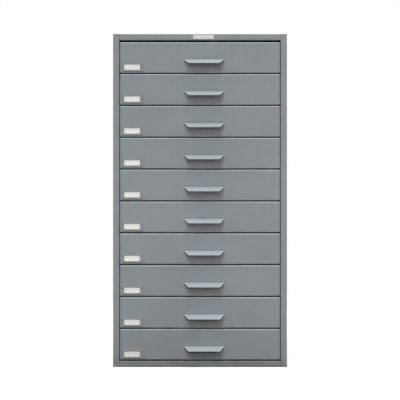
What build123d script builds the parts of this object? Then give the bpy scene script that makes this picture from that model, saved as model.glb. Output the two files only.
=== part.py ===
from build123d import *
import math
import os

os.makedirs("parts", exist_ok=True)

# A steel drawer cabinet. X is the width, Y runs from the front to the back and Z is up.
# All sizes are in millimetres.

# How far a cutting block runs past the face that it cuts
cut_past = 1.0

# Case
case_width = 416.0
body_depth = 500.0
case_sheet = 1.0
back_sheet = 0.8
bend_inside = 0.5
seam = 0.2
stile_face = 15.2
stile_return = 18.0
rear_return = 15.0
top_rail = 14.8
base_rail = 14.4
rail_return = 15.0
panel_flange = 12.0

# Drawer fronts
drawer_count = 10
front_height = 73.5
front_depth = 16.0
front_sheet = 1.0
front_bend_inside = 1.0
front_gap = 2.7
front_top_gap = 4.9
front_base_gap = 2.8
front_side_gap = 1.6
front_side_lip = 22.0
front_end_lip = 16.0

# Drawer trays
tray_sheet = 0.8
tray_rise = 6.0
tray_height = 58.0
tray_side_room = 29.0
flange_reach = 12.0
flange_drop = 8.0
ear_reach = 13.0
ear_length = 12.0
ear_round = 1.6
travel = 360.0

# Runners
runner_sheet = 1.0
runner_lip_gap = 2.5
runner_front_gap = 0.5
runner_rear_gap = 20.0
runner_top_room = 0.6
stop_tab_gap = 2.0
glide_thickness = 1.5
glide_width = 10.5
glide_inset = 0.5
running_gap = 0.3
buffer_thickness = 6.0
buffer_height = 6.5
buffer_width = 16.0
buffer_round = 1.0
rear_tab_width = 22.0

# Handles
handle_width = 96.2
handle_tip_width = 72.6
handle_projection = 18.0
handle_slope = 31.5
handle_sheet = 1.2
handle_flange = 8.5
handle_bend_inside = 0.6
handle_edge_round = 0.4
handle_below_front_top = 41.4
handle_offset = 10.0

# Label holders and cards
window_width = 37.6
window_height = 13.6
window_from_side = 10.0
window_from_base = 7.3
holder_left = 4.4
holder_right = 8.0
holder_top = 3.8
holder_base = 3.4
holder_sheet = 0.7
pocket_depth = 0.6
pocket_overlap = 1.8
card_thickness = 0.3
card_clearance = 0.2
window_round = 0.8

# Name plate
plate_width = 49.5
plate_height = 10.1
plate_thickness = 0.8
plate_offset = 8.1
plate_from_top = 2.2
plate_round = 1.0

# Back panel screws
screw_diameter = 4.0
screw_clearance = 0.3
screw_length = 8.0
screw_head_diameter = 8.0
screw_head_height = 2.0
screw_head_round = 0.8
screw_point = 0.5
screw_end_inset = 45.0
screw_rows = 4
screw_flange_spread = 180.0
recess_length = 4.2
recess_width = 0.9
recess_depth = 1.2

# Places that follow from the sizes
drawer_pitch = front_height + front_gap
fronts_height = drawer_count * front_height + (drawer_count - 1) * front_gap
case_height = base_rail + front_base_gap + fronts_height + front_top_gap + top_rail
total_depth = handle_projection + body_depth + screw_head_height
face_y = handle_projection - total_depth / 2
rear_y = face_y + body_depth
rear_seat_y = rear_y - back_sheet
half_width = case_width / 2
web_x = half_width - case_sheet
opening_x = half_width - stile_face
front_x = opening_x - front_side_gap
tray_x = web_x - tray_side_room
flange_x = tray_x + flange_reach
ear_x = flange_x + ear_reach
runner_front_y = face_y + stile_return + runner_front_gap
runner_rear_y = rear_y - runner_rear_gap
stop_tab_rear_y = runner_front_y + runner_sheet
buffer_rear_y = runner_rear_y - runner_sheet
buffer_front_y = buffer_rear_y - buffer_thickness
tray_front_y = face_y + front_depth
tray_rear_y = buffer_front_y - running_gap
ear_front_y = stop_tab_rear_y + travel + running_gap
lip_x = tray_x + runner_lip_gap
flange_top = tray_rise + tray_height
flange_edge = flange_top - flange_drop
glide_top = flange_edge - running_gap
lip_top = glide_top - glide_thickness
runner_base = lip_top - runner_sheet
runner_ceiling = flange_top + runner_top_room
runner_top = runner_ceiling + runner_sheet


def block(x0, x1, y0, y1, z0, z1):
    """A solid between two corners."""
    size = Box(x1 - x0, y1 - y0, z1 - z0)
    return Pos((x0 + x1) / 2, (y0 + y1) / 2, (z0 + z1) / 2) * size


def bent_sheet(points, thickness, inside):
    """The section of a folded sheet, with the sheet on the left of the line of points."""
    radii = []
    for before, corner, after in zip(points, points[1:], points[2:]):
        turn = (corner[0] - before[0]) * (after[1] - corner[1])
        turn -= (corner[1] - before[1]) * (after[0] - corner[0])
        radii.append(inside + thickness if turn > 0 else inside)
    if len(radii) == 1:
        radii = radii[0]
    line = FilletPolyline(*points, radius=radii)
    edge = offset(line, amount=thickness, side=Side.LEFT)
    return make_face(edge.edges())


def along_x(section, x0, x1):
    """Push a section drawn in Y and Z along X."""
    return extrude(Plane.YZ.offset(x0) * section, amount=x1 - x0, dir=(1, 0, 0))


def along_y(section, y0, y1):
    """Push a section drawn in X and Z along Y."""
    return extrude(Plane.XZ.offset(-y0) * section, amount=y1 - y0, dir=(0, 1, 0))


def mirrored_pair(right):
    """The solid and its mirror image on the left side."""
    return [mirror(right, about=Plane.YZ), right]


def save(name, solids):
    """Write one node, made of one solid or of several separate ones."""
    pieces = solids if isinstance(solids, list) else [solids]
    bodies = [body for piece in pieces for body in piece.solids()]
    node = bodies[0] if len(bodies) == 1 else Compound(children=bodies)
    node.label = name
    export_step(node, "parts/" + name + ".step")


# Side panels: web, front stile with its inner return, and the return that holds the back panel
side_line = [
    (opening_x, face_y + stile_return),
    (opening_x, face_y),
    (half_width, face_y),
    (half_width, rear_seat_y),
    (half_width - rear_return, rear_seat_y),
]
side_section = bent_sheet(side_line, case_sheet, bend_inside)
side_panel = extrude(side_section, amount=case_height, dir=(0, 0, 1))
notch_front = face_y + case_sheet + seam / 2
notch = block(0, web_x, notch_front, rear_y, 0, case_sheet + seam)
side_panel = side_panel - notch - Pos(0, 0, case_height - case_sheet - seam) * notch

screw_x = web_x - (rear_return - case_sheet) / 2
screw_step = (case_height - 2 * screw_end_inset) / (screw_rows - 1)
screw_places = []
for row in range(screw_rows):
    for side in (-1, 1):
        screw_places.append((side * screw_x, screw_end_inset + row * screw_step))
flange_screw_z = case_sheet + (panel_flange - case_sheet) / 2
for side in (-1, 1):
    screw_places.append((side * screw_flange_spread / 2, flange_screw_z))
    screw_places.append((side * screw_flange_spread / 2, case_height - flange_screw_z))

hole_radius = (screw_diameter + screw_clearance) / 2
screw_holes = []
for x, z in screw_places:
    hole = Pos(x, rear_y, z) * Rot(90, 0, 0) * Cylinder(hole_radius, 4 * (case_sheet + back_sheet))
    screw_holes.append(hole)

left_side_panel, right_side_panel = mirrored_pair(side_panel)
save("left_side_panel", left_side_panel - screw_holes)
save("right_side_panel", right_side_panel - screw_holes)


def closing_panel(rail_height):
    """Top or base panel with its outer face at zero height and all the rest below."""
    rail_x = opening_x - seam
    edge_x = web_x - seam
    rear_flange_x = half_width - rear_return - seam
    skin_front = face_y + case_sheet + seam
    skin_rear = rear_seat_y - case_sheet - seam
    rail_line = [
        (skin_rear, 0),
        (face_y, 0),
        (face_y, -rail_height),
        (face_y + rail_return, -rail_height),
    ]
    flange_line = [(rear_seat_y, -panel_flange), (rear_seat_y, 0), (skin_rear - panel_flange, 0)]
    side_line = [(edge_x, -panel_flange), (edge_x, 0), (rail_x - stile_face, 0)]
    skin = along_x(bent_sheet(rail_line, case_sheet, bend_inside), -rail_x, rail_x)
    rear_flange = along_x(bent_sheet(flange_line, case_sheet, bend_inside), -rear_flange_x, rear_flange_x)
    side_flange = along_y(bent_sheet(side_line, case_sheet, bend_inside), skin_front, skin_rear)
    corner = block(rear_flange_x - case_sheet, edge_x, skin_rear, rear_seat_y, -case_sheet, 0)
    return skin + rear_flange + mirrored_pair(side_flange) + mirrored_pair(corner)


top_panel = Pos(0, 0, case_height) * closing_panel(top_rail)
base_panel = mirror(closing_panel(base_rail), about=Plane.XY)
save("top_panel", top_panel - screw_holes)
save("base_panel", base_panel - screw_holes)

# Back panel and its screws
back_panel = block(-half_width, half_width, rear_seat_y, rear_y, 0, case_height)
save("back_panel", back_panel - screw_holes)

screw_head = Cylinder(screw_head_diameter / 2, screw_head_height)
screw_head = fillet(screw_head.edges().sort_by(Axis.Z)[-1], screw_head_round)
slot_z = screw_head_height / 2 - recess_depth / 2
recess = Box(recess_length, recess_width, recess_depth) + Box(recess_width, recess_length, recess_depth)
screw_shank = Cylinder(screw_diameter / 2, screw_length)
screw_shank = chamfer(screw_shank.edges().sort_by(Axis.Z)[0], screw_point)
screw = screw_head - Pos(0, 0, slot_z) * recess
screw = Pos(0, 0, screw_head_height / 2) * screw + Pos(0, 0, -screw_length / 2) * screw_shank
screws = [Pos(x, rear_y, z) * Rot(-90, 0, 0) * screw for x, z in screw_places]
save("back_panel_screws", screws)

# Name plate on the top rail
plate_blank = extrude(RectangleRounded(plate_width, plate_height, plate_round), plate_thickness)
plate_z = case_height - plate_from_top - plate_height / 2
save("name_plate", Pos(plate_offset, face_y, plate_z) * Rot(90, 0, 0) * plate_blank)

# Runners, glide strips and buffers, drawn for the right side of a drawer whose front starts at zero
runner_line = [(lip_x, runner_base), (web_x, runner_base), (web_x, runner_top), (lip_x, runner_top)]
runner_section = bent_sheet(runner_line, runner_sheet, bend_inside)
runner = along_y(runner_section, runner_front_y, runner_rear_y)
web_inside = web_x - runner_sheet / 2
tab_base = lip_top - runner_sheet / 2
tab_top = runner_ceiling + runner_sheet / 2
stop_tab = block(flange_x + stop_tab_gap, web_inside, runner_front_y, stop_tab_rear_y, tab_base, tab_top)
rear_tab_x = web_x - rear_tab_width
rear_tab = block(rear_tab_x, web_inside, buffer_rear_y, runner_rear_y, tab_base, tab_top)
runner = runner + stop_tab + rear_tab

glide_x = lip_x + glide_inset
glide_front = runner_front_y + seam
glide_rear = buffer_rear_y - seam
glide = block(glide_x, glide_x + glide_width, glide_front, glide_rear, lip_top, glide_top)

buffer_centre_x = (rear_tab_x + web_inside) / 2
buffer_middle = (flange_edge + flange_top) / 2
rubber = Box(buffer_width, buffer_thickness, buffer_height)
rubber = fillet(rubber.edges().filter_by(Axis.Y), buffer_round)
rubber = Pos(buffer_centre_x, (buffer_front_y + buffer_rear_y) / 2, buffer_middle) * rubber

runners = []
glides = []
buffers = []

# Drawer pieces, drawn once with the lower edge of the front at zero height
pan = block(-front_x, front_x, face_y, tray_front_y, 0, front_height)
pan_edges = pan.faces().sort_by(Axis.Y)[0].edges() + pan.edges().filter_by(Axis.Y)
pan = fillet(pan_edges, front_bend_inside + front_sheet)
hollow_x = front_x - front_sheet
hollow_front = face_y + front_sheet
hollow_rear = tray_front_y - front_sheet
hollow = block(-hollow_x, hollow_x, hollow_front, hollow_rear, front_sheet, front_height - front_sheet)
hollow_edges = hollow.faces().sort_by(Axis.Y)[0].edges() + hollow.edges().filter_by(Axis.Y)
hollow = fillet(hollow_edges, front_bend_inside)
mouth_x = front_x - front_side_lip
mouth_top = front_height - front_end_lip
mouth_front = hollow_rear - cut_past
mouth = block(-mouth_x, mouth_x, mouth_front, tray_front_y + cut_past, front_end_lip, mouth_top)
drawer_front = pan - hollow - mouth

fold_x = flange_x - tray_sheet
fold_z = flange_top - tray_sheet
tray_line = [
    (-fold_x, flange_edge),
    (-fold_x, fold_z),
    (-tray_x, fold_z),
    (-tray_x, tray_rise),
    (tray_x, tray_rise),
    (tray_x, fold_z),
    (fold_x, fold_z),
    (fold_x, flange_edge),
]
tray = along_y(bent_sheet(tray_line, tray_sheet, bend_inside), tray_front_y, tray_rear_y)
wall_x = tray_x - tray_sheet / 2
wall_base = tray_rise + tray_sheet / 2
end_wall = block(-wall_x, wall_x, 0, tray_sheet, wall_base, fold_z)
wall_corners = end_wall.edges().filter_by(Axis.Y).group_by(Axis.Z)[0]
end_wall = fillet(wall_corners, bend_inside + tray_sheet / 2)
ear = block(fold_x - tray_sheet, ear_x, ear_front_y, ear_front_y + ear_length, fold_z, flange_top)
ear = fillet(ear.edges().filter_by(Axis.Z).group_by(Axis.X)[-1], ear_round)
tray = tray + Pos(0, tray_front_y, 0) * end_wall + Pos(0, tray_rear_y - tray_sheet, 0) * end_wall
tray = tray + mirrored_pair(ear)

handle_top = front_height - handle_below_front_top
bend_outside = handle_bend_inside + handle_sheet
bend_turn = math.radians(90 + handle_slope)
bend_rise = bend_outside * (math.tan(bend_turn / 2) - 1)
root_z = handle_top + bend_rise
slope = math.radians(handle_slope)
tip_reach = handle_projection + handle_edge_round * (math.cos(slope) + math.sin(slope) - 1)
tip_z = root_z - tip_reach * math.tan(slope)
tip_under = tip_z - handle_sheet / math.cos(slope)
handle_line = [(face_y, handle_top - handle_flange), (face_y, root_z), (face_y - tip_reach, tip_z)]
handle_section = bent_sheet(handle_line, handle_sheet, handle_bend_inside)
handle = along_x(handle_section, -handle_width / 2, handle_width / 2)
tip_edges = handle.faces().sort_by(Axis.Y)[0].edges().filter_by(Axis.X)
handle = fillet(tip_edges, handle_edge_round)
outline = Polyline(
    (-handle_width / 2, root_z),
    (handle_width / 2, root_z),
    (handle_width / 2, handle_top),
    (handle_tip_width / 2, tip_under),
    (handle_tip_width / 2, tip_under - handle_sheet),
    (-handle_tip_width / 2, tip_under - handle_sheet),
    (-handle_tip_width / 2, tip_under),
    (-handle_width / 2, handle_top),
    close=True,
)
blank = along_y(make_face(outline.edges()), face_y - 2 * handle_projection, face_y + cut_past)
handle = Pos(handle_offset, 0, 0) * (handle & blank)

window_left = window_from_side - front_x
window_right = window_left + window_width
window_base = window_from_base
window_top = window_base + window_height
holder_front = face_y - pocket_depth - holder_sheet
holder_x0 = window_left - holder_left
holder_x1 = window_right + holder_right
holder_z0 = window_base - holder_base
holder_z1 = window_top + holder_top
holder = block(holder_x0, holder_x1, holder_front, face_y, holder_z0, holder_z1)
holder_corners = holder.edges().filter_by(Axis.Y)
holder = fillet(holder_corners, window_round)
holder_rim = holder.faces().sort_by(Axis.Y)[0].edges()
holder = fillet(holder_rim, holder_sheet / 2)
pocket_left = window_left - pocket_overlap
pocket_base = window_base - pocket_overlap
pocket_top = window_top + pocket_overlap
pocket_right = holder_x1 + cut_past
pocket_front = face_y - pocket_depth
pocket = block(pocket_left, pocket_right, pocket_front, face_y + cut_past, pocket_base, pocket_top)
window_front = holder_front - cut_past
window = block(window_left, window_right, window_front, face_y, window_base, window_top)
window = fillet(window.edges().filter_by(Axis.Y), window_round)
holder = holder - pocket - window
card_x0 = pocket_left + card_clearance
card_x1 = window_right + holder_right / 2
card_z0 = pocket_base + card_clearance
card_z1 = pocket_top - card_clearance
card = block(card_x0, card_x1, face_y - card_thickness, face_y, card_z0, card_z1)

for number in range(1, drawer_count + 1):
    level = base_rail + front_base_gap + (drawer_count - number) * drawer_pitch
    lift = Pos(0, 0, level)
    name = "drawer_%02d_" % number
    save(name + "tray", lift * tray)
    save(name + "front", lift * drawer_front)
    save(name + "handle", lift * handle)
    save(name + "label_holder", lift * holder)
    save(name + "label_card", lift * card)
    runners += [lift * item for item in mirrored_pair(runner)]
    glides += [lift * item for item in mirrored_pair(glide)]
    buffers += [lift * item for item in mirrored_pair(rubber)]

save("drawer_runners", runners)
save("runner_glide_strips", glides)
save("runner_buffers", buffers)
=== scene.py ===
import math

import bpy
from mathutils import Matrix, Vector


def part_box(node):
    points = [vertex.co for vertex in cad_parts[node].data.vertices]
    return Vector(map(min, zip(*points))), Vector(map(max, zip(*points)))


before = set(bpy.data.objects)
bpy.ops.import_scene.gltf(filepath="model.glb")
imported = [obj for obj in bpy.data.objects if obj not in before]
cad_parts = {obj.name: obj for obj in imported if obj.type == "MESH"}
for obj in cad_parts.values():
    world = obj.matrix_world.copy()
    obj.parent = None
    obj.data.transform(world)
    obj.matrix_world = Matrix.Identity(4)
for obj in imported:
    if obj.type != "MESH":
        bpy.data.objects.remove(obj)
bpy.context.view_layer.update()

# Boxes of the pieces that the finishes follow
front_low, front_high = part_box("drawer_10_front")
pull_low, pull_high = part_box("drawer_10_handle")
tray_low, tray_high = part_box("drawer_10_tray")
runner_low, runner_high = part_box("drawer_runners")
panel_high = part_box("right_side_panel")[1]

# Sizes of the part, in metres. A level is a height above the lower edge of a drawer's front.
DRAWERS = 10
FIRST_FRONT = front_low.z
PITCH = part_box("drawer_09_front")[0].z - FIRST_FRONT
FRONT_HEIGHT = front_high.z - front_low.z
FRONT_HALF = front_high.x
FRONT_DEPTH = front_high.y - front_low.y
FACE_Y = front_low.y
CASE_HALF = panel_high.x
CASE_HEIGHT = panel_high.z
REAR_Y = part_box("back_panel")[1].y
PULL_X = (pull_low.x + pull_high.x) / 2
RUNNER_HEIGHT = runner_high.z - runner_low.z - (DRAWERS - 1) * PITCH
RUNNER_LEVEL = runner_low.z + RUNNER_HEIGHT / 2 - FIRST_FRONT
EAR_REACH = 0.013
FLANGE_REACH = 0.012
FLANGE_HALF = tray_high.x - EAR_REACH
TRAY_HALF = FLANGE_HALF - FLANGE_REACH
TRAY_LEVEL = tray_low.z - FIRST_FRONT
TRAY_HEIGHT = tray_high.z - tray_low.z
TRAY_SHEET = 0.0008

# Wear, painted shade and a painted highlight, in metres. A pair is the distance where it starts
# and the distance where it is full.
RUBBED_EDGE = (0.0022, 0.0004)
CHIPPED_EDGE = (0.0017, 0.0006)
# Painted highlight along the upper fold of each drawer front
FOLD_HIGHLIGHT = (0.0034, 0.0012)
# Darker patches along the foot of the case
FOOT_DARKENING = (0.034, 0.004)
# Dust and painted shade in the corners of the trays
CORNER_DUST_AND_SHADE = (0.020, 0.001)
CORNER_DUST_AND_SHADE_HEIGHT = (0.014, 0.001)
FLOOR_WEAR_HEIGHT = (0.002, 0.001)
FLOOR_WEAR_MARGIN = (0.004, 0.010)
FLANGE_WEAR = (0.002, 0.004)
SMUDGE_LEVEL = 0.021
SMUDGE_HALF_HEIGHT = 0.022
SMUDGE_HALF_WIDTH = 0.075

# Spot welds of the runners on the sides, in metres, with pairs as above
FIRST_WELD = 0.05
WELD_STEP = 0.11
WELD_RIM = (0.0036, 0.0020)
WELD_DEPTH = 0.0005
WELDS_ABOVE_FOOT = (0.050, 0.055)
WELDS_BEFORE_REAR = (0.020, 0.030)

# Floor and surroundings. Distances are in metres from the middle of the foot, with pairs as above.
FLOOR_REACH = 12.0
FLOOR_DROP = 0.0003
FLOOR_TONES = ((0.93, 0.93, 0.93, 1.0), (0.95, 0.95, 0.95, 1.0))
WHITE = (1.0, 1.0, 1.0, 1.0)
WHITE_FADE = (0.75, 1.70)
DIM_BOUNCE = (0.03, 0.03, 0.032, 1.0)
RING_BOUNCE = (0.75, 0.75, 0.755, 1.0)
RING_RISE = (0.50, 0.90)
RING_FALL = (0.90, 1.80)
WORLD_LIGHT = 0.18

# Camera, in metres, with SENSOR in millimetres and PICTURE in pixels
DISTANCE = 2.9
CAMERA_HEIGHT = 0.3993
METRES_PER_PIXEL = 0.0023905
SENSOR = 36.0
PICTURE = 400.0


def linear(red, green, blue):
    """Colour from 0 to 255 as the screen shows it, to the linear values that shaders take."""
    values = []
    for part in (red, green, blue):
        part = part / 255.0
        values.append(part / 12.92 if part <= 0.04045 else ((part + 0.055) / 1.055) ** 2.4)
    return (values[0], values[1], values[2], 1.0)


def scaled(colour, factor):
    return (colour[0] * factor, colour[1] * factor, colour[2] * factor, 1.0)


PAINT = linear(137, 143, 146)
# Lighter copy of the paint for the pulls: painted light on their upward-sloping faces
LIT_PULL_PAINT = linear(148, 156, 160)
PRIMER = linear(92, 84, 78)
RUBBED_METAL = linear(116, 117, 116)
# Colour of the dust and painted shade in the corners of the trays
CORNER_GRIME_AND_SHADE = linear(88, 84, 78)
# Tone of the darker patches along the foot of the case
FOOT_DARK_TONE = linear(96, 94, 90)
DUST = linear(176, 172, 164)
RUNNER_ZINC = linear(188, 188, 184)
SCREW_ZINC = linear(200, 199, 194)
NYLON = linear(224, 220, 206)
RUBBER = linear(38, 38, 39)
PLATE = linear(214, 215, 215)
CARD = linear(239, 238, 233)
YELLOWED_CARD = linear(231, 227, 218)
CARD_FIBRE = linear(240, 239, 234)
CARD_SPECK = linear(150, 140, 120)


class Nodes:
    """A node tree, with short calls for the nodes that repeat."""

    def __init__(self, tree):
        self.tree = tree
        self.tree.nodes.clear()

    def fill(self, socket, value):
        """Sets a socket to a number or colour, or links it to another socket."""
        if isinstance(value, bpy.types.NodeSocket):
            self.tree.links.new(value, socket)
        else:
            socket.default_value = value

    def add(self, kind, inputs=None, **settings):
        made = self.tree.nodes.new(kind)
        for key, value in settings.items():
            setattr(made, key, value)
        for key, value in (inputs or {}).items():
            self.fill(made.inputs[key], value)
        return made

    def math(self, operation, first, second=0.0):
        made = self.add("ShaderNodeMath", {0: first, 1: second}, operation=operation)
        return made.outputs[0]

    def plus(self, first, second):
        return self.math("ADD", first, second)

    def minus(self, first, second):
        return self.math("SUBTRACT", first, second)

    def times(self, value, *others):
        for other in others:
            value = self.math("MULTIPLY", value, other)
        return value

    def least(self, value, *others):
        for other in others:
            value = self.math("MINIMUM", value, other)
        return value

    def most(self, value, *others):
        for other in others:
            value = self.math("MAXIMUM", value, other)
        return value

    def absolute(self, value):
        return self.math("ABSOLUTE", value)

    def repeated(self, value, step):
        """How far the value is past the last whole step."""
        return self.math("MODULO", value, step)

    def spread(self, value, low, high, out_low=0.0, out_high=1.0):
        """A smooth step from low to high."""
        inputs = {"Value": value, "From Min": low, "From Max": high,
                  "To Min": out_low, "To Max": out_high}
        made = self.add("ShaderNodeMapRange", inputs, interpolation_type="SMOOTHSTEP")
        return made.outputs["Result"]

    def mix(self, amount, first, second):
        made = self.add("ShaderNodeMix", {0: amount, 6: first, 7: second}, data_type="RGBA")
        return made.outputs[2]

    def seen(self):
        """1 for the rays that show the surroundings: to the camera, in gloss or through glass."""
        rays = self.add("ShaderNodeLightPath").outputs
        return self.most(rays["Is Camera Ray"], rays["Is Glossy Ray"],
                         rays["Is Transmission Ray"])


class Finish(Nodes):
    """A material whose patterns follow the part's own coordinates."""

    def __init__(self, name):
        self.material = bpy.data.materials.new(name)
        self.material.use_nodes = True
        super().__init__(self.material.node_tree)
        self.place = self.add("ShaderNodeTexCoord").outputs["Object"]
        split = self.add("ShaderNodeSeparateXYZ", {"Vector": self.place})
        self.x, self.y, self.z = split.outputs["X"], split.outputs["Y"], split.outputs["Z"]

    def stretched(self, x, y, z, turn=0.0):
        """Coordinates multiplied along each axis, and turned about the upright one."""
        inputs = {"Vector": self.place, "Rotation": (0.0, 0.0, turn), "Scale": (x, y, z)}
        return self.add("ShaderNodeMapping", inputs).outputs["Vector"]

    def noise(self, scale, detail, roughness, vector=None):
        inputs = {"Vector": vector or self.place, "Scale": scale, "Detail": detail,
                  "Roughness": roughness}
        return self.add("ShaderNodeTexNoise", inputs).outputs["Fac"]

    def tint(self, base, colour, *amounts):
        """Mixes a colour into the base by the product of the amounts."""
        return self.mix(self.times(*amounts), base, colour)

    def bump(self, height, distance, strength, normal=None):
        inputs = {"Height": height, "Distance": distance, "Strength": strength}
        if normal is not None:
            inputs["Normal"] = normal
        return self.add("ShaderNodeBump", inputs).outputs["Normal"]

    def surface(self, inputs):
        shader = self.add("ShaderNodeBsdfPrincipled", inputs)
        self.add("ShaderNodeOutputMaterial", {"Surface": shader.outputs["BSDF"]})
        return self.material


def front_level(finish):
    """Height above the lower edge of the drawer front that a point belongs to."""
    half_gap = 0.5 * (PITCH - FRONT_HEIGHT)
    above = finish.minus(finish.z, FIRST_FRONT)
    shifted = finish.plus(above, DRAWERS * PITCH + half_gap)
    return finish.minus(finish.repeated(shifted, PITCH), half_gap)


def box_edge(finish, half_x, low_y, high_y, above, height):
    """Distance to the nearest edge of a box, for a point on or near its surface."""
    side = finish.absolute(finish.minus(half_x, finish.absolute(finish.x)))
    end = finish.absolute(finish.least(finish.minus(finish.y, low_y),
                                       finish.minus(high_y, finish.y)))
    rim = finish.absolute(finish.least(above, finish.minus(height, above)))
    # On an edge two of the three distances are small, so the middle one of them tells
    return finish.most(finish.least(side, end), finish.least(finish.most(side, end), rim))


def nearest_edge(finish, kind, level):
    """Distance to the nearest fold of a piece, or to the lip of a pull."""
    if kind == "front":
        return box_edge(finish, FRONT_HALF, FACE_Y, FACE_Y + FRONT_DEPTH, level, FRONT_HEIGHT)
    if kind == "tray":
        return box_edge(finish, FLANGE_HALF, tray_low.y, tray_high.y,
                        finish.minus(level, TRAY_LEVEL), TRAY_HEIGHT)
    if kind == "pull":
        return finish.minus(finish.y, pull_low.y)
    return box_edge(finish, CASE_HALF, FACE_Y, REAR_Y, level, CASE_HEIGHT)


def mottled(finish, colour, broad, cloud):
    """Paint of a slightly uneven tone, with upright streaks and fine specks."""
    streak = finish.noise(9.0, 3.0, 0.5, finish.stretched(6.0, 1.0, 0.6))
    speck = finish.noise(420.0, 3.0, 0.7)
    base = finish.mix(finish.spread(broad, 0.3, 0.7), scaled(colour, 0.955),
                      scaled(colour, 1.035))
    base = finish.tint(base, scaled(colour, 0.93), finish.spread(cloud, 0.45, 0.75), 0.35)
    base = finish.tint(base, scaled(colour, 1.07), finish.spread(streak, 0.5, 0.8), 0.22)
    return finish.tint(base, scaled(colour, 0.72), finish.spread(speck, 0.62, 0.74), 0.28)


def tray_wear(finish, base, colour, level):
    """Dust and painted shade in the corners of a tray, scratches on its floor and rubbed flanges
    at its sides.
    """
    beyond = finish.minus(finish.absolute(finish.x), TRAY_HALF)
    wall = finish.least(finish.times(beyond, -1.0), finish.minus(finish.y, tray_low.y),
                        finish.minus(tray_high.y, finish.y))
    above = finish.minus(level, TRAY_LEVEL + TRAY_SHEET)
    patches = finish.noise(30.0, 5.0, 0.7)
    # Corners of the tray floor darkened: dust there, and painted shade where the walls meet the
    # floor
    base = finish.tint(base, CORNER_GRIME_AND_SHADE, finish.spread(wall, *CORNER_DUST_AND_SHADE),
                       finish.spread(above, *CORNER_DUST_AND_SHADE_HEIGHT),
                       finish.spread(patches, 0.25, 0.65), 0.55)

    floor = finish.times(finish.spread(above, *FLOOR_WEAR_HEIGHT),
                         finish.spread(wall, *FLOOR_WEAR_MARGIN))
    scuff = finish.noise(1.0, 4.0, 0.6, finish.stretched(70.0, 9.0, 1.0))
    along = finish.noise(1.0, 2.0, 0.5, finish.stretched(900.0, 14.0, 1.0))
    slant = finish.noise(1.0, 2.0, 0.5, finish.stretched(700.0, 11.0, 1.0, turn=0.9))
    scratch = finish.most(finish.spread(along, 0.66, 0.70), finish.spread(slant, 0.67, 0.71))
    base = finish.tint(base, scaled(colour, 0.80), finish.spread(scuff, 0.55, 0.75), floor, 0.28)
    base = finish.tint(base, scaled(colour, 1.45), scratch, floor, 0.40)

    drag = finish.noise(1.0, 4.0, 0.6, finish.stretched(420.0, 5.0, 60.0))
    return finish.tint(base, RUBBED_METAL, finish.spread(beyond, *FLANGE_WEAR),
                       finish.spread(drag, 0.35, 0.65), 0.55)


def folds_wear(finish, base, colour, edge, rub):
    """Folds rubbed pale in places, with small chips down to the primer."""
    chip = finish.noise(160.0, 4.0, 0.65)
    base = finish.tint(base, scaled(colour, 1.45), finish.spread(edge, *RUBBED_EDGE),
                       finish.spread(rub, 0.46, 0.62), 0.30)
    return finish.tint(base, PRIMER, finish.spread(edge, *CHIPPED_EDGE),
                       finish.spread(chip, 0.66, 0.70), 0.75)


def painted_fold_highlight(finish, base, colour, level, rub):
    """Painted highlight along the upper fold of a drawer front: lighter paint in place of the
    light that the fold catches from above.
    """
    below = finish.minus(FRONT_HEIGHT, level)
    return finish.tint(base, scaled(colour, 1.65), finish.spread(below, *FOLD_HIGHLIGHT),
                       finish.spread(rub, 0.2, 0.6, 0.55, 1.0), 0.80)


def darker_foot(finish, base):
    """Darker patches along the foot of the case."""
    patches = finish.noise(22.0, 5.0, 0.7, finish.stretched(1.0, 1.0, 3.0))
    return finish.tint(base, FOOT_DARK_TONE, finish.spread(finish.z, *FOOT_DARKENING),
                       finish.spread(patches, 0.25, 0.65), 0.5)


def settled_dust(finish, base):
    """Dust that lies on what faces up."""
    facing = finish.add("ShaderNodeNewGeometry").outputs["Normal"]
    upward = finish.add("ShaderNodeSeparateXYZ", {"Vector": facing}).outputs["Z"]
    patches = finish.noise(14.0, 5.0, 0.7)
    return finish.tint(base, DUST, finish.spread(upward, 0.75, 1.0),
                       finish.spread(patches, 0.35, 0.75), 0.22)


def weld_marks(finish):
    """Shallow round marks where the runners are spot welded to the sides."""
    low = finish.minus(finish.z, FIRST_FRONT + RUNNER_LEVEL - PITCH / 2)
    row = finish.minus(finish.repeated(low, PITCH), PITCH / 2)
    start = finish.minus(finish.y, FACE_Y + FIRST_WELD - WELD_STEP / 2)
    column = finish.minus(finish.repeated(start, WELD_STEP), WELD_STEP / 2)
    reach = finish.math("SQRT", finish.plus(finish.times(row, row),
                                            finish.times(column, column)))
    return finish.times(finish.spread(reach, *WELD_RIM),
                        finish.spread(finish.z, *WELDS_ABOVE_FOOT),
                        finish.spread(finish.minus(REAR_Y, finish.y), *WELDS_BEFORE_REAR))


def finger_marks(finish, level):
    """An oval round the pull, in patches, where fingers polish and darken the paint."""
    across = finish.math("DIVIDE", finish.minus(finish.x, PULL_X), SMUDGE_HALF_WIDTH)
    upward = finish.math("DIVIDE", finish.minus(level, SMUDGE_LEVEL), SMUDGE_HALF_HEIGHT)
    reach = finish.plus(finish.times(across, across), finish.times(upward, upward))
    patches = finish.noise(45.0, 4.0, 0.65)
    return finish.times(finish.spread(reach, 1.0, 0.1), finish.spread(patches, 0.3, 0.7))


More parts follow.
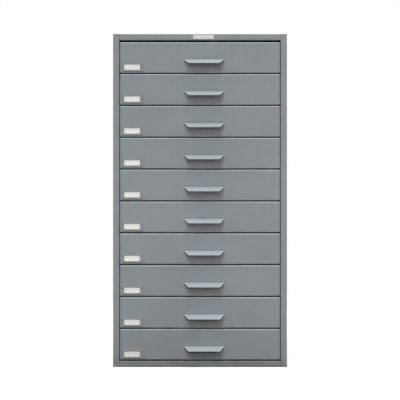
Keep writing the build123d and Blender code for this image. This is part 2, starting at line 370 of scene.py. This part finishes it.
def paint(name, colour, kind, rough=0.49, welds=False, fingers=False):
    """Satin stoved paint on folded sheet: orange peel, slow waves, worn folds and dust, with a
    painted highlight on the upper fold of fronts and painted shade in tray corners and weld
    dimples.
    """
    finish = Finish(name)
    broad = finish.noise(5.0, 3.0, 0.55)
    cloud = finish.noise(28.0, 4.0, 0.6)
    rub = finish.noise(70.0, 5.0, 0.7)
    peel = finish.noise(620.0, 2.0, 0.45)
    level = finish.z if kind == "case" else front_level(finish)

    base = mottled(finish, colour, broad, cloud)
    if kind == "tray":
        base = tray_wear(finish, base, colour, level)
    base = folds_wear(finish, base, colour, nearest_edge(finish, kind, level), rub)
    if kind == "front":
        # Painted highlight on the upper fold of a front
        base = painted_fold_highlight(finish, base, colour, level, rub)
    roughness = finish.spread(cloud, 0.25, 0.8, rough - 0.05, rough + 0.08)
    normal = finish.bump(broad, 0.0011, 0.35)
    normal = finish.bump(cloud, 0.00018, 0.35, normal)
    if welds:
        marks = weld_marks(finish)
        # The weld dimples are painted darker: painted shade in them
        base = finish.tint(base, scaled(colour, 0.84), marks, 0.5)
        normal = finish.bump(finish.minus(1.0, marks), WELD_DEPTH, 0.7, normal)
    if kind == "case":
        base = darker_foot(finish, base)
    base = settled_dust(finish, base)
    if fingers:
        touched = finger_marks(finish, level)
        base = finish.tint(base, scaled(colour, 0.70), touched, 0.20)
        roughness = finish.minus(roughness, finish.times(touched, 0.07))
    normal = finish.bump(peel, 0.00005, 0.5, normal)
    return finish.surface({"Base Color": base, "Roughness": roughness, "Normal": normal,
                           "Specular IOR Level": 0.25})


def zinc(name, colour, rough):
    """Zinc plated steel with a fine rolled grain and cloudy passivation."""
    finish = Finish(name)
    grain = finish.noise(60.0, 4.0, 0.6, finish.stretched(22.0, 1.0, 22.0))
    cloud = finish.noise(24.0, 4.0, 0.6)
    cells = finish.add("ShaderNodeTexVoronoi", {"Vector": finish.place, "Scale": 130.0})
    split = finish.add("ShaderNodeSeparateColor", {"Color": cells.outputs["Color"]})
    spangle = split.outputs[0]
    base = finish.mix(finish.spread(cloud, 0.3, 0.7), scaled(colour, 0.86), scaled(colour, 1.08))
    base = finish.tint(base, scaled(colour, 1.18), spangle, 0.22)
    base = finish.tint(base, scaled(colour, 0.7), finish.spread(grain, 0.55, 0.75), 0.3)
    roughness = finish.spread(cloud, 0.2, 0.8, rough - 0.06, rough + 0.1)
    normal = finish.bump(grain, 0.00006, 0.5)
    return finish.surface({"Base Color": base, "Metallic": 1.0, "Roughness": roughness,
                           "Normal": normal})


def moulded(name, colour, rough, texture=500.0, grime=0.2):
    """Moulded plastic or rubber with a fine texture and a little grime."""
    finish = Finish(name)
    cloud = finish.noise(40.0, 4.0, 0.6)
    speck = finish.noise(300.0, 3.0, 0.6)
    base = finish.mix(finish.spread(cloud, 0.3, 0.7), scaled(colour, 0.93), scaled(colour, 1.03))
    base = finish.tint(base, scaled(colour, 0.6), finish.spread(speck, 0.6, 0.75), grime)
    roughness = finish.spread(cloud, 0.2, 0.8, rough - 0.05, rough + 0.07)
    normal = finish.bump(finish.noise(texture, 2.0, 0.5), 0.00006, 0.5)
    return finish.surface({"Base Color": base, "Roughness": roughness, "Normal": normal})


def card_stock(name):
    """Uncoated card with soft fibres, a few specks and cloudy yellowing."""
    finish = Finish(name)
    fibre = finish.noise(900.0, 4.0, 0.7, finish.stretched(1.0, 1.0, 2.6))
    cloud = finish.noise(55.0, 3.0, 0.6)
    speck = finish.noise(700.0, 2.0, 0.5)
    base = finish.mix(finish.spread(cloud, 0.3, 0.75), CARD, YELLOWED_CARD)
    base = finish.tint(base, CARD_FIBRE, finish.spread(fibre, 0.4, 0.7), 0.25)
    base = finish.tint(base, CARD_SPECK, finish.spread(speck, 0.70, 0.76), 0.4)
    normal = finish.bump(fibre, 0.00008, 0.5)
    return finish.surface({"Base Color": base, "Roughness": 0.85, "Normal": normal})


def dress_part():
    """Gives every piece of the part its material."""
    case_paint = paint("case_paint", PAINT, "case")
    side_paint = paint("side_paint", PAINT, "case", welds=True)
    finishes = {
        "left_side_panel": side_paint,
        "right_side_panel": side_paint,
        "top_panel": case_paint,
        "base_panel": case_paint,
        "back_panel": case_paint,
        "drawer_runners": zinc("runner_zinc", RUNNER_ZINC, 0.42),
        "runner_glide_strips": moulded("nylon", NYLON, 0.45),
        "runner_buffers": moulded("rubber", RUBBER, 0.75, 700.0, 0.3),
        "back_panel_screws": zinc("screw_zinc", SCREW_ZINC, 0.33),
        "name_plate": moulded("plate", PLATE, 0.28, 300.0, 0.05),
    }
    of_drawer = {
        "tray": paint("tray_paint", scaled(PAINT, 0.97), "tray", 0.53),
        "front": paint("front_paint", PAINT, "front", fingers=True),
        # The pulls' paint is lighter as painted light
        "handle": paint("handle_paint", LIT_PULL_PAINT, "pull", 0.42),
        # The holders' paint is a shade darker than the fronts': painted shade round and below the
        # card
        "label_holder": paint("holder_shaded_paint", scaled(PAINT, 0.96), "front", 0.46),
        "label_card": card_stock("card"),
    }
    for number in range(1, DRAWERS + 1):
        for piece, material in of_drawer.items():
            finishes["drawer_%02d_%s" % (number, piece)] = material

    for name, material in finishes.items():
        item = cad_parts[name]
        if not item.material_slots:
            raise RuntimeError("no material slot on " + name)
        for slot in item.material_slots:
            slot.material = material


def make_floor():
    """Pale floor with the part's shadow, which fades to white further out.

    Where it only throws light back on the part, it is dim close by and pale in a ring
    further out, as bright surroundings are beyond the shade at the foot of the part.
    """
    mesh = bpy.data.meshes.new("floor")
    corners = [(-FLOOR_REACH, -FLOOR_REACH, 0), (FLOOR_REACH, -FLOOR_REACH, 0),
               (FLOOR_REACH, FLOOR_REACH, 0), (-FLOOR_REACH, FLOOR_REACH, 0)]
    mesh.from_pydata(corners, [], [(0, 1, 2, 3)])
    floor = bpy.data.objects.new("floor", mesh)
    bpy.context.scene.collection.objects.link(floor)
    floor.location = (0, 0, -FLOOR_DROP)

    finish = Finish("floor")
    seen = finish.seen()
    tone = finish.noise(2.0, 3.0, 0.5)
    away = finish.add("ShaderNodeVectorMath", {0: finish.place}, operation="LENGTH")
    away = away.outputs["Value"]
    pale = finish.mix(finish.spread(tone, 0.3, 0.7), *FLOOR_TONES)
    bounce = finish.mix(finish.spread(away, *RING_RISE), DIM_BOUNCE, RING_BOUNCE)
    bounce = finish.mix(finish.spread(away, *RING_FALL), bounce, DIM_BOUNCE)
    shaded = finish.add("ShaderNodeBsdfDiffuse", {"Color": finish.mix(seen, bounce, pale),
                                                  "Roughness": 0.5})
    white = finish.add("ShaderNodeEmission", {"Color": WHITE, "Strength": 1.0})
    fade = finish.times(finish.spread(away, *WHITE_FADE), seen)
    both = finish.add("ShaderNodeMixShader", {0: fade, 1: shaded.outputs[0],
                                              2: white.outputs[0]})
    finish.add("ShaderNodeOutputMaterial", {"Surface": both.outputs[0]})
    mesh.materials.append(finish.material)


def make_world():
    """Surroundings that are white where they are seen and give a low, even light."""
    world = bpy.data.worlds.new("studio")
    bpy.context.scene.world = world
    world.use_nodes = True
    nodes = Nodes(world.node_tree)
    strength = nodes.add("ShaderNodeMapRange", {"Value": nodes.seen(), "To Min": WORLD_LIGHT,
                                                "To Max": 1.0}).outputs["Result"]
    background = nodes.add("ShaderNodeBackground", {"Color": WHITE, "Strength": strength})
    nodes.add("ShaderNodeOutputWorld", {"Surface": background.outputs["Background"]})


def softbox(name, place, aim, size, watts, colour=(1.0, 1.0, 1.0), mirrored=True):
    """A broad lamp. One that isn't mirrored is kept out of glossy reflections."""
    light = bpy.data.lights.new(name, "AREA")
    light.shape = "RECTANGLE"
    light.size, light.size_y = size
    light.energy = watts
    light.color = colour
    item = bpy.data.objects.new(name, light)
    bpy.context.scene.collection.objects.link(item)
    item.location = place
    item.rotation_euler = (Vector(aim) - Vector(place)).to_track_quat("-Z", "Y").to_euler()
    item.visible_glossy = mirrored


def light_part():
    """Soft daylight studio, with the main light high in front and to the left."""
    middle = (0.0, 0.0, 0.40)
    foot = (0.0, -0.4, 0.0)
    cool = (0.96, 0.98, 1.0)
    softbox("key", (-3.2, -19.2, 22.8), middle, (13.2, 9.6), 4350.0)
    softbox("front", (2.4, -24.0, 9.2), middle, (12.0, 6.4), 1400.0, mirrored=False)
    softbox("overhead", (0.0, -3.8, 18.8), foot, (9.6, 8.0), 1400.0, cool)
    softbox("fill_left", (-14.8, -1.6, 10.0), middle, (7.6, 7.6), 1250.0)
    softbox("fill_right", (14.8, -1.6, 10.0), middle, (7.6, 7.6), 1250.0)
    softbox("back", (1.2, 16.0, 11.2), middle, (8.8, 7.6), 2500.0, mirrored=False)


def make_camera():
    """Level camera in front of the cabinet, whose drawer fronts have the photograph's scale."""
    lens = bpy.data.cameras.new("camera")
    lens.sensor_width = SENSOR
    lens.lens = DISTANCE / METRES_PER_PIXEL * SENSOR / PICTURE
    camera = bpy.data.objects.new("camera", lens)
    bpy.context.scene.collection.objects.link(camera)
    camera.location = (0.0, FACE_Y - DISTANCE, CAMERA_HEIGHT)
    camera.rotation_euler = (math.radians(90), 0, 0)
    bpy.context.scene.camera = camera


dress_part()
make_floor()
make_world()
light_part()
make_camera()
bpy.context.scene.view_settings.view_transform = "Standard"
